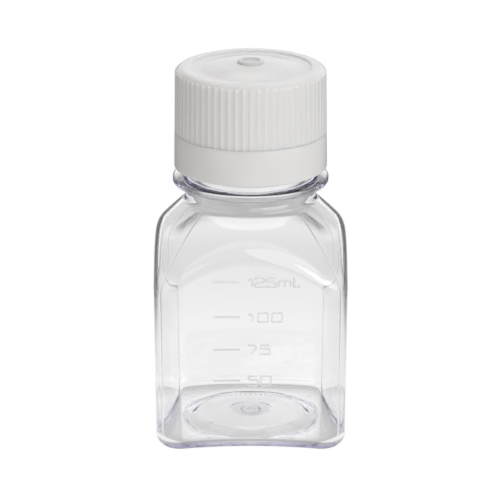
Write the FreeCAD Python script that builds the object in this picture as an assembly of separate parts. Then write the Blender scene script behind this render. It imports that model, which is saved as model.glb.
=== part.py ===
import FreeCAD, Part
import math
import os

V = FreeCAD.Vector
UP = V(0, 0, 1)
ORIGIN = V(0, 0, 0)

# Square body of the bottle, standing on z = 0 with its axis on Z
body_width = 52.4
body_draft = 0.55
body_corner_radius = 6.5
heel_radius = 3.9
wall = 0.8
floor_wall = 1.1

# Shoulder that bows down from the neck, cut by the four flat sides into arches
shoulder_top = 66.36
shoulder_slope = 41.2
shoulder_bend = 10.0
shoulder_bow_radius = 110.0
shoulder_radius = 6.0
shoulder_wall = 1.25

# Neck and support ring below the finish
neck_radius = 18.2
neck_length = 5.54
neck_wall = 1.9
neck_blend = 3.0
flare_length = 4.0
ring_reach = 4.0
ring_thickness = 1.8
ring_rounding = 0.45

# Finish that takes the cap: plain wall for the thread, tamper bead and mouth
finish_radius = 17.6
finish_length = 28.85
finish_wall = 2.2
bore_blend = 2.5
lip_chamfer = 0.5
thread_depth = 1.1
bead_depth = 1.3
bead_rise = 7.6
bead_thickness = 2.2
bead_land = 0.8

# Push-up under the base, with a gate nub at its centre
pushup_radius = 18.9
pushup_slope_width = 3.6
pushup_height = 1.8
pushup_crown = 0.7
pushup_rounding = 1.2
gate_radius = 2.6
gate_drop = 0.8

# Low arches between the corner feet
foot_arch_span = 38.0
foot_arch_rise = 0.85

# Cap shell: ribbed skirt, rolled edge, flat rim and domed panel with a gate boss
cap_wall = 1.8
cap_draft = 0.65
cap_edge_width = 1.95
cap_edge_drop = 0.68
cap_edge_share = 0.95
cap_panel_thickness = 1.6
thread_clearance = 0.35
rim_width = 1.9
rim_step = 0.4
panel_crown = 1.4
boss_radius = 3.7
boss_height = 0.75
boss_wall = 1.1
boss_dish = 0.4
boss_chamfer = 0.45

# Ribs that stand on the cap's side and end square below its rolled edge
rib_count = 64
rib_width = 0.85
rib_crest_width = 0.45
rib_height = 0.3
rib_root = 0.7
rib_end_drop = 1.1

# Sealing disc between the cap's top and the mouth
liner_thickness = 1.0
liner_clearance = 0.45

# Tamper band below the slit, hooked under the bead by its folded lip
band_gap = 2.52
band_height = 9.85
band_wall = 1.7
band_chamfer = 0.35
slit_width = 0.3
lip_clearance = 0.3
lip_thickness = 0.8
lip_lean = 50.0
bridge_count = 12
bridge_width = 0.9
bridge_depth = 0.7

# Margin by which a cutting tool passes the face it cuts
overcut = 1.0

# Heights and radii that follow from the sizes above
ring_height = shoulder_top + neck_length
mouth_height = ring_height + finish_length
bead_height = ring_height + bead_rise
band_foot = ring_height + ring_thickness / 2 + band_gap
slit_height = band_foot + band_height
cap_foot = slit_height + slit_width
cap_under = mouth_height + liner_thickness
panel_edge_height = cap_under + cap_panel_thickness
cap_rim_height = panel_edge_height + rim_step
cap_edge_height = cap_rim_height - cap_edge_drop
bore_radius = finish_radius - finish_wall
ring_radius = finish_radius + ring_reach
bead_radius = finish_radius + bead_depth
cap_bore_radius = finish_radius + thread_depth + thread_clearance
cap_top_radius = cap_bore_radius + cap_wall


def turned(points):
    # Solid of revolution about Z from corners (radius, height, rounding)
    edges = []
    starts = []
    ends = []
    count = len(points)
    for i in range(count):
        here = V(points[i][0], 0, points[i][1])
        rounding = points[i][2]
        if rounding == 0:
            starts.append(here)
            ends.append(here)
            continue
        before = V(points[i - 1][0], 0, points[i - 1][1])
        after = V(points[(i + 1) % count][0], 0, points[(i + 1) % count][1])
        to_before = (before - here).normalize()
        to_after = (after - here).normalize()
        half = to_before.getAngle(to_after) / 2
        reach = rounding / math.tan(half)
        bisector = (to_before + to_after).normalize()
        middle = here + bisector * (rounding / math.sin(half) - rounding)
        starts.append(here + to_before * reach)
        ends.append(here + to_after * reach)
        edges.append(Part.Arc(starts[i], middle, ends[i]).toShape())
    for i in range(count):
        start = ends[i - 1]
        end = starts[i]
        if (end - start).Length > 1e-6:
            edges.append(Part.makeLine(start, end))
    outline = Part.Wire(Part.__sortEdges__(edges))
    return Part.Face(outline).revolve(ORIGIN, UP, 360)


def ring_of(shape, count):
    # Copies of a shape spread evenly round the axis
    copies = []
    for i in range(count):
        copy = shape.copy()
        copy.rotate(ORIGIN, UP, 360.0 * i / count)
        copies.append(copy)
    return copies


def side_at(height, inset):
    # Half width of the square body at a height, less an inset
    return body_width / 2 + height * math.tan(math.radians(body_draft)) - inset


def shoulder_line(neck, inset, blend):
    # Outline corners of the bowed shoulder from far outside up to the neck, set in square to it
    flat = math.radians(shoulder_slope)
    steep = math.radians(shoulder_slope + shoulder_bend)
    run = neck_blend / math.tan((flat + math.pi / 2) / 2)
    run += shoulder_bow_radius * math.tan((steep - flat) / 2)
    shift = (1 / math.cos(flat) - 1 / math.cos(steep)) / (math.tan(steep) - math.tan(flat))
    bend = neck_radius + run * math.cos(flat) + inset * shift
    neck_high = shoulder_top - (neck - neck_radius) * math.tan(flat) - inset / math.cos(flat)
    bend_high = neck_high - (bend - neck) * math.tan(flat)
    far = body_width
    far_high = bend_high - (far - bend) * math.tan(steep)
    return [(far, far_high, 0), (bend, bend_high, shoulder_bow_radius - inset), (neck, neck_high, blend)]


def cap_side_at(height):
    # Radius of the rib crests and of the band at a height
    return cap_top_radius + (cap_edge_height - height) * math.tan(math.radians(cap_draft))


def square_prism(bottom, top, inset):
    # Four flat sides with draft, and rounded upright corners
    low = side_at(bottom, inset)
    high = side_at(top, inset)
    prism = Part.makeWedge(-low, bottom, -low, -high, -high, low, top, low, high, high)
    prism.rotate(ORIGIN, V(1, 0, 0), 90)
    upright = []
    for edge in prism.Edges:
        if edge.BoundBox.ZLength > (top - bottom) / 2:
            upright.append(edge)
    return prism.makeFillet(body_corner_radius - inset, upright)


def edges_shared(form, first, second):
    # Edges of a form that lie on the surfaces of both solids it was cut from
    shared = []
    for edge in form.Edges:
        middle = Part.Vertex(edge.valueAt((edge.FirstParameter + edge.LastParameter) / 2))
        off_first = first.Shells[0].distToShape(middle)[0]
        off_second = second.Shells[0].distToShape(middle)[0]
        if max(off_first, off_second) < 1e-3:
            shared.append(edge)
    return shared


def body_form(profile, bottom, inset, arch_radius):
    # Square body under the turned shoulder and neck, with soft arches and heel
    prism = square_prism(bottom, mouth_height + 2 * overcut, inset)
    crown = turned(profile)
    form = prism.common(crown)
    form = form.makeFillet(arch_radius, edges_shared(form, prism, crown))
    heel = []
    for edge in form.Edges:
        if edge.BoundBox.ZMax < bottom + 1e-4:
            heel.append(edge)
    return form.makeFillet(heel_radius - inset, heel)


def base_hollow(lift, spread):
    # Push-up dome and the two low arches, as tools that cut from below
    low = -2 * heel_radius
    foot = pushup_radius + spread
    top = lift + pushup_height
    dome = turned([
        (0, low, 0), (foot, low, 0), (foot, lift, 0),
        (foot - pushup_slope_width, top, pushup_rounding), (0, top + pushup_crown, 0)])
    radius = (foot_arch_span ** 2 / 4 + foot_arch_rise ** 2) / (2 * foot_arch_rise)
    axis_height = foot_arch_rise + lift - radius
    length = 2 * body_width
    across = Part.makeCylinder(radius, length, V(0, -length / 2, axis_height), V(0, 1, 0))
    along = Part.makeCylinder(radius, length, V(-length / 2, 0, axis_height), V(1, 0, 0))
    return [dome, across, along]


def make_bottle():
    # Outer form less the same form set in by the wall, open at the mouth
    far = body_width
    below = -overcut
    ring_low = ring_height - ring_thickness / 2
    ring_high = ring_height + ring_thickness / 2
    bead_low = bead_height - bead_thickness / 2
    bead_high = bead_height + bead_thickness / 2
    foot_line = [(0, below, 0), (far, below, 0)]
    outside = body_form(foot_line + shoulder_line(neck_radius, 0, neck_blend) + [
        (neck_radius, ring_low, 0),
        (ring_radius, ring_low, ring_rounding), (ring_radius, ring_high, ring_rounding),
        (finish_radius, ring_high, 0), (finish_radius, bead_low, 0), (bead_radius, bead_low, 0),
        (bead_radius, bead_low + bead_land, 0), (finish_radius, bead_high, 0),
        (finish_radius, mouth_height - lip_chamfer, 0), (finish_radius - lip_chamfer, mouth_height, 0),
        (0, mouth_height, 0)], 0, 0, shoulder_radius)
    inner_neck = neck_radius - neck_wall
    flare_low = ring_height - flare_length / 2
    flare_high = ring_height + flare_length / 2
    past = mouth_height + overcut
    inside = body_form(foot_line + shoulder_line(inner_neck, shoulder_wall, neck_blend + neck_wall) + [
        (inner_neck, flare_low, bore_blend), (bore_radius, flare_high, bore_blend),
        (bore_radius, past, 0), (0, past, 0)], floor_wall, wall, shoulder_radius - shoulder_wall)
    for tool in base_hollow(0, 0):
        outside = outside.cut(tool)
    for tool in base_hollow(floor_wall, wall):
        inside = inside.cut(tool)
    crown = pushup_height + pushup_crown
    gate = Part.makeCylinder(gate_radius, gate_drop + floor_wall / 2, V(0, 0, crown - gate_drop))
    return outside.cut(inside).fuse(gate).removeSplitter()


def make_cap_shell():
    # Turned shell with its rolled edge, rim, dome and boss, and the ribs that stand on its side
    side_low = cap_side_at(cap_foot) - rib_height
    side_high = cap_top_radius - rib_height
    rim_out = cap_top_radius - cap_edge_width
    rim_in = rim_out - rim_width
    edge_slope = math.atan2(cap_edge_drop, side_high - rim_out)
    edge_length = math.hypot(cap_edge_drop, side_high - rim_out)
    edge_radius = cap_edge_share * edge_length / math.tan((math.pi / 2 - edge_slope) / 2)
    panel_mid = panel_edge_height + panel_crown
    boss_top = panel_mid + boss_height
    dish_radius = boss_radius - boss_wall
    shell = turned([
        (0, cap_under, 0), (cap_bore_radius, cap_under, 0), (cap_bore_radius, cap_foot, 0),
        (side_low, cap_foot, 0), (side_high, cap_edge_height, edge_radius),
        (rim_out, cap_rim_height, 0), (rim_in, cap_rim_height, 0),
        (rim_in - rim_step, panel_edge_height, 0), (boss_radius, panel_mid, 0),
        (boss_radius, boss_top - boss_chamfer, 0), (boss_radius - boss_chamfer, boss_top, 0),
        (dish_radius, boss_top, 0), (dish_radius - boss_dish, boss_top - boss_dish, 0),
        (0, boss_top - boss_dish, 0)])
    rise = cap_rim_height - rib_end_drop - cap_foot
    crest = cap_side_at(cap_foot)
    outline = []
    for radius, half in (
            (crest - rib_height - rib_root, rib_width / 2), (crest - rib_height, rib_width / 2),
            (crest, rib_crest_width / 2)):
        outline.append(V(radius, half, cap_foot))
        outline.insert(0, V(radius, -half, cap_foot))
    outline.append(outline[0])
    section = Part.Face(Part.makePolygon(outline))
    rib = section.extrude(V(-rise * math.tan(math.radians(cap_draft)), 0, rise))
    return shell.fuse(ring_of(rib, rib_count)).removeSplitter()


def make_cap_liner():
    # Flat disc between the mouth and the cap's panel
    return Part.makeCylinder(cap_bore_radius - liner_clearance, liner_thickness, V(0, 0, mouth_height))


def make_tamper_band():
    # Plain band with a lip folded in and up under the bead, and the bridges on its top edge
    bore = cap_side_at(slit_height) - band_wall
    tip = finish_radius + lip_clearance
    tip_high = bead_height - bead_thickness / 2 - lip_clearance
    lip_high = tip_high - (bore - tip) * math.tan(math.radians(90 - lip_lean))
    side_low = cap_side_at(band_foot)
    band = turned([
        (bore, slit_height, 0), (bore, lip_high, 0), (tip, tip_high, 0), (tip, tip_high - lip_thickness, 0),
        (bore, lip_high - lip_thickness, 0), (bore, band_foot, 0), (side_low - band_chamfer, band_foot, 0),
        (side_low, band_foot + band_chamfer, 0), (cap_side_at(slit_height), slit_height, 0)])
    start = V(bore, -bridge_width / 2, slit_height - slit_width)
    bridge = Part.makeBox(bridge_depth, bridge_width, 2 * slit_width, start)
    return band.fuse(ring_of(bridge, bridge_count)).removeSplitter()


os.makedirs("parts", exist_ok=True)
make_bottle().exportStep("parts/bottle.step")
make_cap_shell().exportStep("parts/cap_shell.step")
make_cap_liner().exportStep("parts/cap_liner.step")
make_tamper_band().exportStep("parts/tamper_band.step")
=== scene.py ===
import math

import bmesh
import bpy
import numpy as np
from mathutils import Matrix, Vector


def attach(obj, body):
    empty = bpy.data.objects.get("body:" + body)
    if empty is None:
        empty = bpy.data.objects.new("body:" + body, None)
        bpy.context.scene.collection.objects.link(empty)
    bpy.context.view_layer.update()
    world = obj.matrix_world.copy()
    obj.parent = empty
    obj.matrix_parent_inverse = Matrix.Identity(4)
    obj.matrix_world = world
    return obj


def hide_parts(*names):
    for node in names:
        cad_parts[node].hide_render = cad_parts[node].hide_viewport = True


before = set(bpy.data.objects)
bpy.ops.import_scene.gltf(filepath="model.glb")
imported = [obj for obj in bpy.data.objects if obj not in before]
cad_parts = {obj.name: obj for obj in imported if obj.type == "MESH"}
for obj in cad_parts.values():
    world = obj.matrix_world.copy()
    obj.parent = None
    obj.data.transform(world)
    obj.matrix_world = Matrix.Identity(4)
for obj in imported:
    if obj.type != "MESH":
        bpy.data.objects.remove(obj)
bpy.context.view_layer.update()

# Bottle: one blown square bottle of clear plastic with a round shoulder, a support ring and a
# threaded finish. The inside follows the outside a wall's thickness away, and both surfaces
# meet over the lip, so the wall is one closed skin of rings from base centre to base centre.
mm = 0.001
side_half, side_draft, side_round = 26.2, math.tan(math.radians(0.55)), 6.5
lean_low, lean_high = 40.0, 60.0
inner_extra, inner_from, inner_gain = 0.9, 50.0, 0.02
heel_round, heel_inner, wall, floor_wall = 3.9, 2.6, 0.8, 1.7
shoulder_top, shoulder_slope, shoulder_round, shoulder_bow = 66.36, math.radians(40.8), 9.5, 110.0
shoulder_wall, thin_from, thin_to = 1.2, 64.0, 4.0
neck_r, neck_wall, neck_blend = 18.2, 1.9, 3.0
bore_r, flare_low, flare_high, flare_round = 16.1, 70.0, 74.0, 2.5
bore_top, bore_step = 100.0, 3.5
ring_r, ring_low, ring_high, ring_round, ring_blend = 21.6, 71.0, 72.9, 0.5, 1.4
finish_r, lip_r, mouth_z = 17.6, 16.4, 100.75
bead_r, bead_low, bead_high, bead_land = 18.9, 78.4, 80.6, 0.9
thread_depth, thread_half, thread_flank, thread_lead, thread_turns = 1.08, 1.2, 0.75, 4.2333, 1.5
thread_start, thread_low, thread_high, thread_step, thread_fade = 88.3, 84.0, 99.0, 0.34, 0.5
foot_span, foot_rise, foot_fade = 38.0, 0.85, 9.0
pushup_r, pushup_slope, pushup_z, pushup_crown = 18.8, 3.1, 1.8, 0.7
slope_in, slope_out, slope_foot = pushup_r - pushup_slope - 0.6, pushup_r - 0.65, 0.15
inner_slope_r, inner_slope_z, inner_crown = 13.6, 1.6, 2.25
gate_r, gate_drop, gate_ring_r = 2.4, 1.2, 5.6
seam_height, seam_r, seam_top = 0.05, 19.0, 65.0

# Columns of the wall's mesh, by azimuth: along each flat side, then round each corner, and closer
# together where a flat ends and beside the seam
run = np.array([-1, -0.985] + list(np.linspace(-0.95, 0.95, 43)) + [0.985])
arc = np.radians(sorted(list(np.linspace(0, 90, 23)[:-1]) + [1.5, 43.6, 46.4, 88.5]))
quarter = np.concatenate([
    np.arctan2(run * (side_half - side_round), side_half),
    np.arctan2(side_half - side_round + side_round * np.sin(arc),
               side_half - side_round + side_round * np.cos(arc))])
azimuth = np.concatenate([quarter + i * math.pi / 2 for i in range(4)])
along = np.maximum(abs(np.cos(azimuth)), abs(np.sin(azimuth)))
across = np.minimum(abs(np.cos(azimuth)), abs(np.sin(azimuth)))
on_seam = np.isclose(along, across, atol=1e-9)


def square_reach(half, rounding):
    # Distance from the axis to a rounded square, at every azimuth
    core = half - rounding
    dot = core * (along + across)
    corner = dot + np.sqrt(np.maximum(dot ** 2 - 2 * core ** 2 + rounding ** 2, 0))
    return np.where(half * across / along <= core, half / along, corner)


def corner_round(z, inset):
    # Rounding of the upright corners at a level: the inside is rounder towards the base
    return side_round - inset + (inner_extra + (inner_from - z) * inner_gain if inset else 0)


def wall_reach(z, inset):
    # Reach of the drafted sides at a level. The wall thins from the shoulder down to the base.
    down = np.clip((thin_from - z) / (thin_from - thin_to), 0, 1)
    thick = shoulder_wall - (shoulder_wall - inset) * down ** 2 * (3 - 2 * down) if inset else 0
    return square_reach(side_half + z * side_draft - thick, corner_round(z, inset))


def soft_line(points, step=12.0, shortest=0.06):
    # Open outline through corners (r, z, rounding), each rounding drawn in steps of so many degrees,
    # or in fewer where such steps would be too short to see
    line = []
    for i, (r, z, rounding) in enumerate(points):
        here = np.array([r, z], float)
        if rounding == 0:
            line.append(here)
            continue
        back = np.array(points[i - 1][:2], float) - here
        ahead = np.array(points[i + 1][:2], float) - here
        back /= np.linalg.norm(back)
        ahead /= np.linalg.norm(ahead)
        half = math.acos(np.clip(back @ ahead, -1, 1)) / 2
        middle = here + (back + ahead) / np.linalg.norm(back + ahead) * rounding / math.sin(half)
        first = here + back * rounding / math.tan(half) - middle
        last = here + ahead * rounding / math.tan(half) - middle
        turn = math.pi - 2 * half
        count = max(2, math.ceil(min(math.degrees(turn) / step, rounding * turn / shortest)))
        for t in np.linspace(0, 1, count + 1):
            spoke = first * math.sin((1 - t) * turn) + last * math.sin(t * turn)
            line.append(middle + spoke / math.sin(turn))
    return line


def fine_line(line, low, high, step):
    # The same outline with more points where its height lies between two levels
    more = [line[0]]
    for a, b in zip(line, line[1:]):
        if low <= a[1] <= high or low <= b[1] <= high or min(a[1], b[1]) < low < max(a[1], b[1]):
            count = max(1, math.ceil(np.linalg.norm(b - a) / step))
            more += [a + (b - a) * (i + 1) / count for i in range(count - 1)]
        more.append(b)
    return more


def shoulder_rows(inset, start_r):
    # Bowed shoulder, soft arch and drafted wall, as rows of (r, z) at every azimuth, from the neck down
    depth = shoulder_wall if inset else 0
    bow, rounding = shoulder_bow - depth, shoulder_round - depth
    bow_r = neck_r - shoulder_bow * math.sin(shoulder_slope)
    bow_z = shoulder_top - shoulder_bow * math.cos(shoulder_slope)
    low, high = wall_reach(lean_low, inset), wall_reach(lean_high, inset)
    lean = (high - low) / (lean_high - lean_low)
    reach = bow - rounding
    gap = low - lean_low * lean - rounding * np.sqrt(1 + lean ** 2) + lean * bow_z - bow_r
    rise = np.sqrt((1 + lean ** 2) * reach ** 2 - gap ** 2)
    rise = (rise - gap * lean) / (1 + lean ** 2)
    centre_r, centre_z = bow_r + gap + lean * rise, bow_z + rise
    first = math.asin((start_r - bow_r) / bow)
    meet = np.arctan2(centre_r - bow_r, centre_z - bow_z)
    rows = []
    for t in (0.03, 0.1, 0.2, 0.3, 0.4, 0.5, 0.6, 0.7, 0.8, 0.9, 0.97):
        angle = first + (meet - first) * t
        rows.append((bow_r + bow * np.sin(angle), bow_z + bow * np.cos(angle)))
    for t in np.linspace(0, 1, 13):
        angle = meet + (math.pi / 2 + np.arctan(lean) - meet) * t
        rows.append((centre_r + rounding * np.sin(angle), centre_z + rounding * np.cos(angle)))
    wall_top = rows[-1][1]
    heel_z = heel_inner + floor_wall if inset else heel_round
    for t in (0.02, 0.06, 0.13, 0.2, 0.28, 0.36, 0.44, 0.52, 0.6, 0.68, 0.76, 0.84, 0.92, 0.98, 1):
        z = wall_top + (heel_z - wall_top) * t
        rows.append((wall_reach(z, inset), z))
    return rows


def heel_rows(inset, floor_z):
    # Rounded heel and the flat foot inside it, down to the rim of the push-up
    rounding, least_round, rim_gap = (heel_inner, 3.5, 2.2) if inset else (heel_round, 0.8, 0.8)
    rows = []
    for t in np.linspace(0, math.pi / 2, 13)[1:]:
        step_in = rounding * (1 - math.cos(t))
        z = floor_z + rounding * (1 - math.sin(t)) + 0 * azimuth
        half = side_half + z * side_draft - inset - step_in
        rows.append((square_reach(half, np.maximum(corner_round(z, inset) - step_in, least_round)), z))
    edge = rows[-1][0]
    for t in (0.04, 0.2, 0.4, 0.6, 0.8, 0.96):
        rows.append((edge + (pushup_r + rim_gap - edge) * t, floor_z + 0 * azimuth))
    return rows


def with_foot_lift(rows, floor_z):
    # The base rises in a low arch between each two corner feet, and the lift fades out above it
    sag = foot_rise / (foot_span / 2) ** 2
    lifted = []
    for r, z in rows:
        x, y = r * np.cos(azimuth), r * np.sin(azimuth)
        lift = np.maximum(0, foot_rise - sag * np.minimum(abs(x), abs(y)) ** 2)
        fade = np.clip(1 - (z - floor_z) / foot_fade, 0, 1) ** 2
        inner = np.clip((r - pushup_r + pushup_slope) / pushup_slope, 0, 1)
        lifted.append((r, z + lift * fade * inner))
    return lifted


def thread_lift(z, lead_in):
    # Height of the thread over the plain finish at a level, at every azimuth
    lift = 0 * azimuth
    whole = 2 * math.pi * thread_turns
    for turn in range(3):
        angle = (azimuth % (2 * math.pi)) + 2 * math.pi * turn
        off = abs(z - lead_in - thread_lead * angle / (2 * math.pi))
        shape = np.clip((thread_half - off) / thread_flank, 0, 1)
        ends = np.clip(np.minimum(angle, whole - angle) / thread_fade, 0, 1)
        lift = np.maximum(lift, np.sin(shape * math.pi / 2) * np.sin(ends * math.pi / 2))
    return lift


finish_line = soft_line([
    (lip_r, mouth_z, 0), (finish_r, mouth_z, 0.55), (finish_r, bead_high, 0.4),
    (bead_r, bead_low + bead_land, 0.35), (bead_r, bead_low, 0.2), (finish_r, bead_low, 0.3),
    (finish_r, ring_high, ring_blend), (ring_r, ring_high, ring_round), (ring_r, ring_low, ring_round),
    (neck_r, ring_low, 0.5), (neck_r, shoulder_top, neck_blend),
    (neck_r + 6, shoulder_top - 6 * math.tan(shoulder_slope), 0)])[:-1]
finish_line = fine_line(finish_line, thread_low, thread_high, thread_step)
outside = []
for r, z in finish_line:
    threaded = r < finish_r + 1e-6 and z > thread_low
    lift = thread_lift(z, thread_start) * thread_depth if threaded else 0
    outside.append((r + lift + 0 * azimuth, z + 0 * azimuth))
outside += shoulder_rows(0, finish_line[-1][0])
outside = [(np.where(on_seam & (r > seam_r) & (z < seam_top), r + seam_height, r), z) for r, z in outside]
gate_z = pushup_z + pushup_crown - gate_drop
base_line = soft_line([
    (pushup_r + 3, 0, 0), (pushup_r + 0.6, 0, 0.15), (pushup_r + 0.25, -0.35, 0.25),
    (pushup_r - 0.25, -0.35, 0.25), (slope_out, slope_foot, 0.3),
    (slope_in, pushup_z, 2.0), (gate_ring_r + 0.8, pushup_z + 0.5, 0.8),
    (gate_ring_r, pushup_z + 0.65, 0.8), (gate_r + 0.4, pushup_z + 0.7, 0.2), (gate_r, gate_z, 0.3),
    (1.2, gate_z + 0.05, 0.15), (0.6, gate_z + 0.75, 0.2), (0.2, gate_z + 0.8, 0), (0, gate_z + 0.8, 0)])[1:]
outside += with_foot_lift(
    heel_rows(0, 0)[:-1] + [(r + 0 * azimuth, z + 0 * azimuth) for r, z in base_line], 0)
inner_bow, inner_neck = shoulder_bow - shoulder_wall, neck_r - neck_wall
bore_slope = math.asin((inner_neck - neck_r + shoulder_bow * math.sin(shoulder_slope)) / inner_bow)
bore_z = shoulder_top - shoulder_bow * math.cos(shoulder_slope) + inner_bow * math.cos(bore_slope)
bore_line = soft_line([
    (lip_r, mouth_z, 0), (bore_r, mouth_z, 0.6), (bore_r, flare_high, flare_round),
    (inner_neck, flare_low, flare_round), (inner_neck, bore_z, neck_blend + neck_wall),
    (inner_neck + 8, bore_z - 8 * math.tan(bore_slope), 0)])[1:-1]
bore_line = fine_line(bore_line, flare_low, bore_top, bore_step)
inside = [(r + 0 * azimuth, z + 0 * azimuth) for r, z in bore_line]
inside += shoulder_rows(wall, bore_line[-1][0])
inner_base = soft_line([
    (pushup_r + 4, floor_wall, 0), (pushup_r + 1.4, floor_wall, 3.0),
    (inner_slope_r, floor_wall + inner_slope_z, 8.0), (4.0, floor_wall + inner_crown, 4.0),
    (1.0, floor_wall + inner_crown, 0), (0, floor_wall + inner_crown, 0)], 3)[1:]
inside += with_foot_lift(
    heel_rows(wall, floor_wall)[:-1] + [(r + 0 * azimuth, z + 0 * azimuth) for r, z in inner_base], floor_wall)


def skin_of_rings(name, rows, angles):
    # Closed skin through rings of (r, z), whose first and last ring shrink to a point on the axis
    count = len(angles)
    corners = [(0, 0, float(np.mean(rows[0][1])) * mm)]
    for r, z in rows[1:-1]:
        corners += list(zip(r * np.cos(angles) * mm, r * np.sin(angles) * mm, z * mm))
    corners.append((0, 0, float(np.mean(rows[-1][1])) * mm))
    faces = []
    last = len(corners) - 1
    final = last - count
    for j in range(count):
        k = (j + 1) % count
        faces.append((0, 1 + j, 1 + k))
        faces.append((final + j, last, final + k))
        for i in range(1, final, count):
            faces.append((i + j, i + count + j, i + count + k, i + k))
    mesh = bpy.data.meshes.new(name)
    mesh.from_pydata(corners, [], faces)
    return shown_piece(name, mesh, 40)


def shown_piece(name, mesh, crease):
    # Object for a finished mesh, smooth but for edges sharper than the crease angle
    mesh.polygons.foreach_set("use_smooth", [True] * len(mesh.polygons))
    mesh.set_sharp_from_angle(angle=math.radians(crease))
    mesh.update()
    piece = bpy.data.objects.new(name, mesh)
    bpy.context.scene.collection.objects.link(piece)
    return piece


class Shade:
    # One socket of a material, so that surface maths reads as plain expressions
    def __init__(self, tree, socket=None):
        self.tree, self.socket = tree, socket

    def node(self, kind, settings=None, inputs=None, out=0):
        made = self.tree.nodes.new(kind)
        for key, value in (settings or {}).items():
            if key == "stops":
                for place, grey in value[2:]:
                    made.color_ramp.elements.new(place)
                for stop, (place, grey) in zip(made.color_ramp.elements, value):
                    stop.position, stop.color = place, (grey, grey, grey, 1)
            else:
                setattr(made, key, value)
        for key, value in (inputs or {}).items():
            if isinstance(value, Shade):
                self.tree.links.new(value.socket, made.inputs[key])
            else:
                made.inputs[key].default_value = value
        return Shade(self.tree, made.outputs[out] if len(made.outputs) else None)

    def maths(self, operation, first, second):
        return self.node("ShaderNodeMath", {"operation": operation}, {0: first, 1: second})

    def __add__(self, other):
        return self.maths("ADD", self, other)

    def __mul__(self, other):
        return self.maths("MULTIPLY", self, other)

    def __rsub__(self, other):
        return self.maths("SUBTRACT", other, self)

    __radd__, __rmul__ = __add__, __mul__


def new_finish(name):
    # Empty material and the shade that adds nodes to it
    finish = bpy.data.materials.new(name)
    finish.use_nodes = True
    finish.node_tree.nodes.clear()
    return finish, Shade(finish.node_tree)


def close_finish(shade, surface):
    # Surface shader joined to the material's output
    shade.node("ShaderNodeOutputMaterial", None, {"Surface": surface})


clear_plastic, shade = new_finish("clear_plastic")
place = shade.node("ShaderNodeTexCoord", out="Object")
flow = shade.node("ShaderNodeTexNoise", None, {"Vector": place, "Scale": 55, "Detail": 2, "Roughness": 0.4})
scuffs = shade.node("ShaderNodeTexNoise", None, {"Vector": place, "Scale": 900, "Detail": 4, "Roughness": 0.6})
tint = shade.node("ShaderNodeMix", {"data_type": "RGBA"}, {
    0: flow, 6: (0.985, 0.985, 0.993, 1), 7: (0.993, 0.992, 0.997, 1)}, out=2)
height = shade.node("ShaderNodeSeparateXYZ", None, {0: place}, out="Z")
flat = shade.node("ShaderNodeVectorMath", {"operation": "MULTIPLY"}, {0: place, 1: (1, 1, 0)})
off_axis = shade.node("ShaderNodeVectorMath", {"operation": "LENGTH"}, {0: flat}, out="Value")
gate_disc = shade.node("ShaderNodeMapRange", {"interpolation_type": "SMOOTHSTEP"}, {
    "Value": off_axis + height * 0.4, "From Min": gate_ring_r * mm, "From Max": (gate_ring_r + 1.6) * mm,
    "To Min": 1.0, "To Max": 0.0})
sheen = 0.012 + scuffs * 0.02 + gate_disc * 0.2
ripple = shade.node("ShaderNodeBump", None, {"Height": flow, "Strength": 0.02, "Distance": 0.0004})
depth = shade.node("ShaderNodeVolumeAbsorption", None, {"Color": (0.66, 0.63, 0.92, 1), "Density": 18.0})
shade.node("ShaderNodeOutputMaterial", None, {"Volume": depth, "Surface": shade.node(
    "ShaderNodeBsdfPrincipled", None, {
        "Base Color": tint, "Roughness": sheen, "Normal": ripple, "IOR": 1.57, "Transmission Weight": 1.0})})

bottle = skin_of_rings("bottle_body", inside[::-1] + outside, azimuth)
bottle.data.materials.append(clear_plastic)
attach(bottle, "bottle")
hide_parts("bottle")

# Volume marks: four level lines and plain numbers, moulded in the front wall as low round
# strokes of the same clear plastic, each let into the wall a little at its foot.
stroke_width, stroke_root, line_height, digit_height = 0.55, 0.03, 0.2, 0.11
digit_high, digit_round = 3.0, 0.42
line_from, line_to, word_from = -10.25, -2.93, -0.82
glyphs = {
    "1": [[(0.2, 2.1), (1.3, 2.8), (1.3, 0.2)]],
    "2": [[(0.2, 2.2), (0.2, 2.8), (2.6, 2.8), (2.6, 1.6), (0.2, 1.4), (0.2, 0.2), (2.7, 0.2)]],
    "5": [[(2.6, 2.8), (0.2, 2.8), (0.2, 1.7), (2.7, 1.7), (2.7, 0.2), (0.2, 0.2), (0.2, 0.6)]],
    "0": [[(1.6, 0.2), (0.2, 0.2), (0.2, 2.8), (3.0, 2.8), (3.0, 0.2), (1.6, 0.2)]],
    "7": [[(0.2, 2.4), (0.2, 2.8), (2.65, 2.8), (0.9, 0.2)]],
    "m": [[(0.2, 0.2), (0.2, 2.0), (1.85, 2.0), (1.85, 0.2)], [(2.05, 2.0), (3.5, 2.0), (3.5, 0.2)]],
    "L": [[(0.2, 2.8), (0.2, 0.2), (1.9, 0.2)]]}
marks = [
    (49.99, [("1", 0), ("2", 1.9), ("5", 4.95), ("m", 8.3), ("L", 12.5)]),
    (39.83, [("1", 0), ("0", 2.66), ("0", 6.47)]),
    (30.34, [("7", 0), ("5", 3.4)]),
    (21.29, [("5", 0), ("0", 3.35)])]
strokes = []
for level, word in marks:
    strokes.append((line_height, [(line_from, level), (line_to, level)]))
    for letter, start in word:
        for line in glyphs[letter]:
            strokes.append((digit_height, [
                (start + word_from + x, level - digit_high / 2 + z) for x, z in line]))


def stroke_path(line):
    # Corners of a stroke rounded off, as a cutter leaves them in the mould
    if len(line) == 2:
        return [np.array(line[0]) * (1 - t) + np.array(line[1]) * t for t in np.linspace(0, 1, 9)]
    soft = []
    for i, corner in enumerate(line):
        room = digit_round
        if 0 < i < len(line) - 1:
            for near in (line[i - 1], line[i + 1]):
                room = min(room, 0.45 * math.dist(corner, near))
        soft.append((corner[0], corner[1], room if 0 < i < len(line) - 1 else 0))
    return soft_line(soft, 15)


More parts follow.
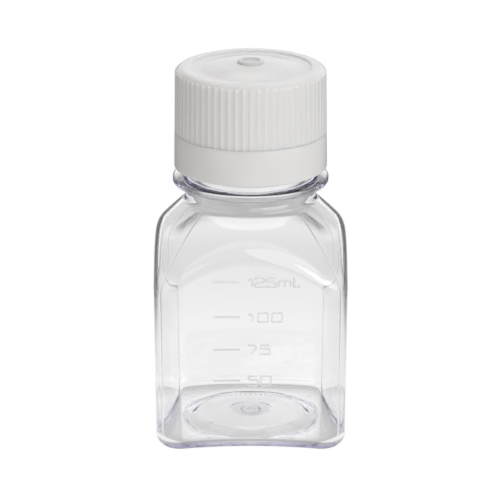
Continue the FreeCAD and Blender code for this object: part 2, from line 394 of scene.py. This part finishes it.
def add_stroke(corners, faces, rise, line):
    # Low ridge with a half-round section along a path on the front wall
    path = np.array(stroke_path(line))
    closed = np.allclose(path[0], path[-1])
    if closed:
        path = path[:-1]
    ahead = np.roll(path, -1, 0) - path
    behind = path - np.roll(path, 1, 0)
    if not closed:
        ahead[-1], behind[0] = behind[-1], ahead[0]
    ahead /= np.linalg.norm(ahead, axis=1)[:, None]
    behind /= np.linalg.norm(behind, axis=1)[:, None]
    tangent = ahead + behind
    tangent /= np.linalg.norm(tangent, axis=1)[:, None]
    normal = np.stack([-tangent[:, 1], tangent[:, 0]], 1)
    first = len(corners)
    section = [(-0.5, -stroke_root), (-0.3, 0.5 * rise), (-0.14, 0.94 * rise), (0, rise),
               (0.14, 0.94 * rise), (0.3, 0.5 * rise), (0.5, -stroke_root)]
    size = len(section)
    for p, n in zip(path, normal):
        for offset, height in section:
            x, z = p + n * offset * stroke_width
            corners.append((x * mm, -(side_half + z * side_draft + height) * mm, z * mm))
    count = len(path)
    for i in range(count if closed else count - 1):
        j = (i + 1) % count
        for k in range(size):
            m = (k + 1) % size
            here, there = first + i * size, first + j * size
            faces.append((here + k, here + m, there + m, there + k))
    if not closed:
        faces.append(tuple(first + k for k in range(size - 1, -1, -1)))
        faces.append(tuple(first + (count - 1) * size + k for k in range(size)))


corners, faces = [], []
for rise, line in strokes:
    add_stroke(corners, faces, rise, line)
mesh = bpy.data.meshes.new("volume_marks")
mesh.from_pydata(corners, [], faces)
form = bmesh.new()
form.from_mesh(mesh)
bmesh.ops.recalc_face_normals(form, faces=form.faces)
form.to_mesh(mesh)
form.free()
volume_marks = shown_piece("volume_marks", mesh, 50)
clear_marks, shade = new_finish("clear_marks")
place = shade.node("ShaderNodeTexCoord", out="Object")
scuffs = shade.node("ShaderNodeTexNoise", None, {"Vector": place, "Scale": 900, "Detail": 4, "Roughness": 0.6})
frosting = 0.24 + scuffs * 0.08
# They bend light less than the wall does, so that they stay as faint as low moulded marks look
close_finish(shade, shade.node("ShaderNodeBsdfPrincipled", None, {
    "Base Color": (0.99, 0.99, 0.995, 1), "Roughness": frosting, "IOR": 1.38, "Transmission Weight": 1.0}))
volume_marks.data.materials.append(clear_marks)
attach(volume_marks, "bottle")

# Cap shell: injection-moulded white plastic with 64 grip ribs, a rolled edge, a flat rim, a domed
# panel and a gate boss. One rib's slice of the shell is drawn, and the whole is that slice repeated.
cap_foot, cap_under, cap_bore, cap_top_r = 85.47, 101.75, 19.05, 20.85
cap_rim_z, cap_edge_z, rim_out, rim_in = 103.75, 103.07, 18.9, 17.0
cap_lean = math.tan(math.radians(0.65))
panel_edge_z, panel_mid_z = 103.35, 104.75
boss_r, boss_top, boss_wall, boss_dish = 3.7, 105.5, 1.1, 0.4
rib_count, rib_wide, rib_high, rib_top, rib_end = 64, 1.5, 0.18, 102.75, 0.3
skirt_step, rib_end_step = 3.0, 0.06


def cap_side(z):
    # Radius of the rib crests and of the band at a level
    return cap_top_r + (cap_edge_z - z) * cap_lean


cap_line = soft_line([
    (0, boss_top - boss_dish, 0), (boss_r - boss_wall - boss_dish, boss_top - boss_dish, 0.3),
    (boss_r - boss_wall, boss_top, 0.2), (boss_r - 0.4, boss_top, 0.3), (boss_r, boss_top - 0.5, 0.3),
    (boss_r, panel_mid_z, 0.15), (9.0, panel_mid_z - 0.3, 12.0), (14.2, panel_edge_z - 0.15, 5.0),
    (rim_in - 0.35, panel_edge_z - 0.1, 0.25), (rim_in, cap_rim_z, 0.12), (rim_out, cap_rim_z, 0.2),
    (cap_top_r - rib_high, cap_edge_z, 2.1), (cap_side(cap_foot) - rib_high, cap_foot, 0),
    (cap_bore, cap_foot, 0.25), (cap_bore, cap_under, 0.4), (0, cap_under, 0)], 6)
cap_line = fine_line(cap_line, cap_foot, rib_top - rib_end, skirt_step)
cap_line = fine_line(cap_line, rib_top - rib_end - 0.1, rib_top + 0.1, rib_end_step)
pitch = 2 * math.pi / rib_count
half_slice = [0.08, 0.16, 0.24, 0.3, 0.36, 0.42, 0.5]
slice_at = np.array([-part for part in half_slice[::-1]] + [0] + half_slice)
rib_shape = 0.5 + 0.5 * np.cos(np.clip(slice_at * pitch * cap_top_r / (rib_wide / 2), -1, 1) * math.pi)
corners, faces = [(0, 0, cap_line[0][1] * mm)], []
for r, z in cap_line[1:-1]:
    reach = r + 0 * slice_at
    if r > cap_bore + 0.6 and z < rib_top:
        stands = math.sqrt(1 - max(0, (z - rib_top + rib_end) / rib_end) ** 2)
        reach = r + (cap_side(z) - r) * rib_shape * stands
    for q, a in zip(reach, slice_at):
        corners.append((q * math.cos(a * pitch) * mm, q * math.sin(a * pitch) * mm, z * mm))
corners.append((0, 0, cap_line[-1][1] * mm))
wide = len(slice_at)
last = len(corners) - 1
for j in range(wide - 1):
    faces.append((0, 1 + j, 2 + j))
    faces.append((last - wide + j, last, last - wide + j + 1))
    for i in range(1, last - wide, wide):
        faces.append((i + j, i + wide + j, i + wide + j + 1, i + j + 1))
cap_slice = bpy.data.meshes.new("cap_slice")
cap_slice.from_pydata(corners, [], faces)


def white_finish(name, tone, gloss, boss_shade_reach):
    # White moulded plastic: faintly mottled, finely grained by the mould and soft to light, with painted
    # shade that darkens it within a given reach of the axis, over the cap's gate boss
    finish, shade = new_finish(name)
    place = shade.node("ShaderNodeTexCoord", out="Object")
    cloud = shade.node("ShaderNodeTexNoise", None, {
        "Vector": place, "Scale": 70, "Detail": 3, "Roughness": 0.5})
    grain = shade.node("ShaderNodeTexNoise", None, {
        "Vector": place, "Scale": 2600, "Detail": 3, "Roughness": 0.6})
    rubs = shade.node("ShaderNodeTexNoise", None, {
        "Vector": place, "Scale": 420, "Detail": 5, "Roughness": 0.65})
    even = shade.node("ShaderNodeMix", {"data_type": "RGBA"}, {
        0: cloud, 6: tuple(c * 0.965 for c in tone) + (1,), 7: tuple(tone) + (1,)}, out=2)
    flat = shade.node("ShaderNodeVectorMath", {"operation": "MULTIPLY"}, {0: place, 1: (1, 1, 0)})
    off_axis = shade.node("ShaderNodeVectorMath", {"operation": "LENGTH"}, {0: flat}, out="Value")
    # Painted shade: the colour drops to four fifths over the gate boss
    boss_shade = shade.node("ShaderNodeMapRange", {"interpolation_type": "SMOOTHSTEP"}, {
        "Value": off_axis, "From Min": boss_shade_reach * mm, "From Max": (boss_shade_reach + 0.25) * mm,
        "To Min": 1.0, "To Max": 0.0})
    colour = shade.node("ShaderNodeMix", {"data_type": "RGBA"}, {
        0: boss_shade, 6: even, 7: tuple(c * 0.8 for c in tone) + (1,)}, out=2)
    skin = shade.node("ShaderNodeBump", None, {
        "Height": grain + cloud * 2.0, "Strength": 0.12, "Distance": 0.00006})
    close_finish(shade, shade.node("ShaderNodeBsdfPrincipled", None, {
        "Base Color": colour, "Roughness": gloss + rubs * 0.1, "Normal": skin, "IOR": 1.5,
        "Subsurface Weight": 0.6, "Subsurface Radius": (1.0, 0.95, 0.9), "Subsurface Scale": 0.0016}))
    return finish


white_plastic = white_finish("white_plastic", (0.81, 0.802, 0.8), 0.1, boss_r)


def repeated_round(name, source, count, finish, first=0.0, step=None):
    # Copies of a mesh set at even steps round the axis and joined where they meet
    tree = bpy.data.node_groups.new(name + "_round", "GeometryNodeTree")
    tree.is_modifier = True
    tree.interface.new_socket("Piece", in_out="INPUT", socket_type="NodeSocketGeometry")
    number = tree.interface.new_socket("Copies", in_out="INPUT", socket_type="NodeSocketInt")
    start = tree.interface.new_socket("First", in_out="INPUT", socket_type="NodeSocketFloat")
    spread = tree.interface.new_socket("Step", in_out="INPUT", socket_type="NodeSocketFloat")
    weld = tree.interface.new_socket("Weld", in_out="INPUT", socket_type="NodeSocketFloat")
    paint = tree.interface.new_socket("Finish", in_out="INPUT", socket_type="NodeSocketMaterial")
    tree.interface.new_socket("Ring", in_out="OUTPUT", socket_type="NodeSocketGeometry")

    def add(kind, settings=None, inputs=None):
        made = tree.nodes.new(kind)
        for key, value in (settings or {}).items():
            setattr(made, key, value)
        for key, value in (inputs or {}).items():
            if isinstance(value, bpy.types.NodeSocket):
                tree.links.new(value, made.inputs[key])
            else:
                made.inputs[key].default_value = value
        return made

    given = add("NodeGroupInput").outputs
    dots = add("GeometryNodePoints", None, {"Count": given["Copies"]})
    angle = add("ShaderNodeMath", {"operation": "MULTIPLY_ADD"}, {
        0: add("GeometryNodeInputIndex").outputs[0], 1: given["Step"], 2: given["First"]})
    turn = add("ShaderNodeCombineXYZ", None, {"Z": angle.outputs[0]})
    ring = add("GeometryNodeInstanceOnPoints", None, {
        "Points": dots.outputs[0], "Instance": given["Piece"], "Rotation": turn.outputs[0]})
    solid = add("GeometryNodeRealizeInstances", None, {"Geometry": ring.outputs[0]})
    joined = add("GeometryNodeMergeByDistance", None, {"Geometry": solid.outputs[0], "Distance": given["Weld"]})
    painted = add("GeometryNodeSetMaterial", None, {"Geometry": joined.outputs[0], "Material": given["Finish"]})
    add("NodeGroupOutput", None, {"Ring": painted.outputs[0]})
    maker = bpy.data.objects.new(name + "_maker", source)
    bpy.context.scene.collection.objects.link(maker)
    modifier = maker.modifiers.new("round", "NODES")
    modifier.node_group = tree
    modifier[number.identifier] = count
    modifier[start.identifier] = first
    modifier[spread.identifier] = step or 2 * math.pi / count
    modifier[weld.identifier] = 0.002 * mm
    modifier[paint.identifier] = finish
    bpy.context.view_layer.update()
    ready = maker.evaluated_get(bpy.context.evaluated_depsgraph_get())
    mesh = bpy.data.meshes.new_from_object(ready)
    mesh.name = name
    bpy.data.objects.remove(maker)
    return mesh


cap = shown_piece("cap_body", repeated_round("cap_body", cap_slice, rib_count, white_plastic), 30)
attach(cap, "cap")
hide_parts("cap_shell")

# Tamper band: a plain white ring left on the neck below the slit, moulded with the cap and tied
# to it by thin bridges. Its folded lip hooks under the bottle's bead.
band_foot, band_top, band_wall = 75.32, 85.462, 1.7
lip_tip, lip_gap, lip_thick, lip_slope = 17.9, 0.3, 0.8, math.radians(40)
band_bore = cap_side(band_top) - band_wall
tip_z = bead_low - lip_gap
lip_z = tip_z - (band_bore - lip_tip) * math.tan(lip_slope)
bridge_count, bridge_wide, bridge_deep, slit = 12, 0.9, 0.7, 0.3
band_line = soft_line([
    (band_bore, band_top - 2, 0), (band_bore, lip_z, 0.4), (lip_tip, tip_z, 0.15),
    (lip_tip, tip_z - lip_thick, 0.15), (band_bore, lip_z - lip_thick, 0.4), (band_bore, band_foot, 0.3),
    (cap_side(band_foot), band_foot, 0.45), (cap_side(band_top), band_top, 0.015),
    (band_bore, band_top, 0.2), (band_bore, band_top - 2, 0)], 10)[:-1]
band_steps = 192
ring_at = np.arange(band_steps) * 2 * math.pi / band_steps
corners, faces = [], []
for r, z in band_line:
    corners += [(r * math.cos(a) * mm, r * math.sin(a) * mm, z * mm) for a in ring_at]
for i in range(len(band_line)):
    k = (i + 1) % len(band_line)
    for j in range(band_steps):
        m = (j + 1) % band_steps
        faces.append((i * band_steps + m, k * band_steps + m, k * band_steps + j, i * band_steps + j))
bridge = bmesh.new()
bmesh.ops.create_cube(bridge, size=1)
bmesh.ops.scale(bridge, vec=(bridge_deep * mm, bridge_wide * mm, 2 * slit * mm), verts=bridge.verts)
bridge_at = ((band_bore + bridge_deep / 2) * mm, 0, (cap_foot - slit) * mm)
bmesh.ops.translate(bridge, vec=bridge_at, verts=bridge.verts)
bmesh.ops.bevel(bridge, geom=bridge.edges, offset=0.06 * mm, segments=2, affect="EDGES")
bridge_mesh = bpy.data.meshes.new("band_bridge")
bridge.to_mesh(bridge_mesh)
bridge.free()
band_white = white_finish("band_white", (0.805, 0.797, 0.795), 0.14, 0.0)
bridges = repeated_round("band_bridges", bridge_mesh, bridge_count, band_white)
band_mesh = bpy.data.meshes.new("tamper_band")
band_mesh.from_pydata(corners, [], faces)
form = bmesh.new()
form.from_mesh(band_mesh)
bmesh.ops.recalc_face_normals(form, faces=form.faces)
form.from_mesh(bridges)
form.to_mesh(band_mesh)
form.free()
band_mesh.materials.append(band_white)
band = shown_piece("band_ring", band_mesh, 32)
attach(band, "band")
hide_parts("tamper_band")

# Base ridges: short radial ridges of the same clear plastic under the far slope of the base, moulded
# with the bottle. One ridge is drawn, let into the base a little, and repeated round the axis.
ridge_count, ridge_first, ridge_step = 21, math.radians(40), math.radians(5)
ridge_wide, ridge_high, ridge_root = 0.8, 0.4, 0.04
ridge_in, ridge_out = pushup_r - 3.5, pushup_r - 1.3
ridge_shape = [(-0.5, 0), (-0.32, 0.6), (0, 1), (0.32, 0.6), (0.5, 0)]
corners, faces = [], []
for t in (0, 0.15, 0.5, 0.85, 1):
    r = ridge_in + (ridge_out - ridge_in) * t
    base_z = slope_foot + (pushup_z - slope_foot) * (slope_out - r) / (slope_out - slope_in)
    stands = ridge_high * (0.3 if t in (0, 1) else 1)
    for y, h in ridge_shape:
        corners.append((r * mm, y * ridge_wide * mm, (base_z + ridge_root - (stands + ridge_root) * h) * mm))
wide = len(ridge_shape)
for i in range(0, len(corners) - wide, wide):
    for j in range(wide):
        k = (j + 1) % wide
        faces.append((i + j, i + k, i + wide + k, i + wide + j))
faces += [tuple(range(wide)), tuple(range(len(corners) - 1, len(corners) - 1 - wide, -1))]
mesh = bpy.data.meshes.new("base_ridge")
mesh.from_pydata(corners, [], faces)
form = bmesh.new()
form.from_mesh(mesh)
bmesh.ops.recalc_face_normals(form, faces=form.faces)
form.to_mesh(mesh)
form.free()
ridges = shown_piece("base_ridges", repeated_round(
    "base_ridges", mesh, ridge_count, clear_marks, ridge_first, ridge_step), 50)
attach(ridges, "bottle")

# Liner: a flat disc of white foam pressed into the cap, which seals on the mouth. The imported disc
# has its true shape, so it only gets its finish.
liner_foam, shade = new_finish("liner_foam")
place = shade.node("ShaderNodeTexCoord", out="Object")
cells = shade.node("ShaderNodeTexVoronoi", {"feature": "F1"}, {"Vector": place, "Scale": 3200})
cloud = shade.node("ShaderNodeTexNoise", None, {"Vector": place, "Scale": 180, "Detail": 3})
colour = shade.node("ShaderNodeMix", {"data_type": "RGBA"}, {
    0: cloud, 6: (0.78, 0.78, 0.77, 1), 7: (0.86, 0.86, 0.85, 1)}, out=2)
pores = shade.node("ShaderNodeBump", None, {"Height": cells, "Strength": 0.4, "Distance": 0.00008})
close_finish(shade, shade.node("ShaderNodeBsdfPrincipled", None, {
    "Base Color": colour, "Roughness": 0.62 + cells * 0.2, "Normal": pores}))
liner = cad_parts["cap_liner"]
liner.data.materials.clear()
liner.data.materials.append(liner_foam)

# Studio: a pale floor that glows, a soft disc of light overhead, a soft light at the front right, a low
# strip there for the gleam on the shoulder, and a dim warm light at the left. The clear plastic sees the
# floor shaded under and beside it; the camera, a metre off with a long lens, sees it plain.
floor_half, floor_z = 4.0, -0.0004
floor_mesh = bpy.data.meshes.new("floor")
floor_mesh.from_pydata([
    (-floor_half, -floor_half, floor_z), (floor_half, -floor_half, floor_z),
    (floor_half, floor_half, floor_z), (-floor_half, floor_half, floor_z)], [], [(0, 1, 2, 3)])
floor = bpy.data.objects.new("floor", floor_mesh)
bpy.context.scene.collection.objects.link(floor)
pale_floor, shade = new_finish("pale_floor")
place = shade.node("ShaderNodeTexCoord", out="Object")
away = shade.node("ShaderNodeVectorMath", {"operation": "LENGTH"}, {0: place}, out="Value")
squared = shade.node("ShaderNodeVectorMath", {"operation": "MULTIPLY"}, {0: place, 1: place})
fourth = shade.node("ShaderNodeVectorMath", {"operation": "DOT_PRODUCT"}, {0: squared, 1: squared}, out="Value")
outline = shade.maths("POWER", fourth, 0.25)
# Painted shadow: the floor's glow is darkened in a thin ring along the bottle's rounded-square outline, as its
# contact shadow
painted_contact_shadow = shade.node("ShaderNodeValToRGB", {"stops": [
    (0.0, 1.0), (0.15, 1.0), (0.25, 0.45), (0.264, 0.4), (0.278, 1.0), (1.0, 1.0)]}, {"Fac": outline * 10})
# Painted shade: the glow is darker in a pool under the bottle and in rings farther out from it
painted_floor_shade = shade.node("ShaderNodeValToRGB", {"stops": [
    (0.0, 0.68), (0.05, 0.7), (0.068, 0.64), (0.08, 0.98), (0.1, 1.0), (0.125, 0.93), (0.36, 0.93),
    (0.5, 0.86), (0.58, 0.82), (0.66, 0.85), (0.75, 0.95), (0.87, 0.8), (1.0, 0.5)]}, {"Fac": away * 4})
offset = shade.node("ShaderNodeVectorMath", {"operation": "ABSOLUTE"}, {0: place})
along_x = shade.node("ShaderNodeSeparateXYZ", None, {0: offset}, out="X")
along_y = shade.node("ShaderNodeSeparateXYZ", None, {0: offset}, out="Y")
# Painted shade: darker to the left and right of the bottle beyond about 4 cm, less so straight beside it;
# diffuse rays don't get it
beside = shade.node("ShaderNodeMapRange", {"interpolation_type": "SMOOTHSTEP"}, {
    "Value": along_x, "From Min": 0.042, "From Max": 0.085, "To Min": 0.0, "To Max": 0.68})
ahead = shade.node("ShaderNodeMapRange", {"interpolation_type": "SMOOTHSTEP"}, {
    "Value": along_y, "From Min": 0.02, "From Max": 0.04, "To Min": 0.45, "To Max": 1.0})
painted_side_shade = 1 - beside * ahead
plain = shade.node("ShaderNodeLightPath", out="Is Diffuse Ray")
open_floor = shade.node("ShaderNodeEmission", None, {"Color": (1, 1, 1, 1), "Strength": 1.0})
tone = shade.node("ShaderNodeVectorMath", {"operation": "SCALE"}, {
    0: (1, 1, 0.975), "Scale": painted_floor_shade * painted_contact_shadow * (painted_side_shade * (1 - plain) + plain)})
shaded_floor_glow = shade.node("ShaderNodeEmission", None, {"Color": tone, "Strength": 1.0})
# The camera sees the floor evenly white, while what is seen through or mirrored in the bottle meets these
# painted shadows
seen = shade.node("ShaderNodeLightPath", out="Is Camera Ray")
close_finish(shade, shade.node("ShaderNodeMixShader", None, {0: seen, 1: shaded_floor_glow, 2: open_floor}))
floor_mesh.materials.append(pale_floor)

world = bpy.data.worlds.new("studio")
bpy.context.scene.world = world
world.use_nodes = True
world.node_tree.nodes.clear()
shade = Shade(world.node_tree)
look = shade.node("ShaderNodeTexCoord", out="Generated")
back = shade.node("ShaderNodeSeparateXYZ", None, {0: look}, out="Y")
rise = shade.node("ShaderNodeSeparateXYZ", None, {0: look}, out="Z")
behind = shade.node("ShaderNodeMapRange", {"interpolation_type": "SMOOTHSTEP"}, {
    "Value": back, "From Min": 0.35, "From Max": 0.95, "To Min": 0.3, "To Max": 1.05})
low_down = shade.node("ShaderNodeMapRange", {"interpolation_type": "SMOOTHSTEP"}, {
    "Value": rise, "From Min": 0.45, "From Max": 0.75, "To Min": 1.0, "To Max": 0.26})
glow = behind * low_down
backdrop = shade.node("ShaderNodeBackground", None, {"Color": (1, 1, 1, 1), "Strength": glow})
shade.node("ShaderNodeOutputWorld", None, {"Surface": backdrop})


def soft_light(name, place, aim, wide, tall, power, colour=(1, 1, 1), roll=0.0, mirrored=True, lighting=True):
    # Soft light at a place, turned to face a point and rolled about that line: a rectangle, or a disc
    # where it has no height. It may be kept out of reflections, or give nothing but its reflection.
    light = bpy.data.lights.new(name, "AREA")
    light.color = colour
    light.shape = "RECTANGLE" if tall else "DISK"
    light.size, light.energy = wide, power
    if tall:
        light.size_y = tall
    lamp = bpy.data.objects.new(name, light)
    lamp.location = place
    lamp.rotation_euler = (Vector(aim) - Vector(place)).to_track_quat("-Z", "Y").to_euler()
    lamp.rotation_euler.rotate_axis("Z", math.radians(roll))
    lamp.visible_glossy, lamp.visible_diffuse = mirrored, lighting
    bpy.context.scene.collection.objects.link(lamp)


soft_light("top_light", (0, 0.53, 1.06), (0, 0.53, 0), 1.6, 0, 7.0)
soft_light("right_light", (0.66, -0.9, 0.6), (0, 0, 0.06), 1.6, 1.15, 11.6, mirrored=False)
soft_light("strip_light", (0.865, -0.779, 0.35), (0, 0, 0.06), 1.2, 0.4, 3.3, roll=-5, lighting=False)
soft_light("left_light", (-0.9, -0.8, 0.35), (0, 0, 0.07), 1.2, 0.7, 1.7, (1, 0.92, 0.85))

camera = bpy.data.cameras.new("camera")
camera.lens, camera.sensor_width = 271.2, 36
viewer = bpy.data.objects.new("camera", camera)
viewer.location = (-0.00018, -1.0, 0.3771)
viewer.rotation_euler = (math.radians(90 - 18.085), 0, 0)
bpy.context.scene.collection.objects.link(viewer)
bpy.context.scene.camera = viewer
bpy.context.scene.view_settings.view_transform = "Standard"
light_paths = bpy.context.scene.cycles
light_paths.max_bounces, light_paths.glossy_bounces, light_paths.transmission_bounces = 40, 32, 40
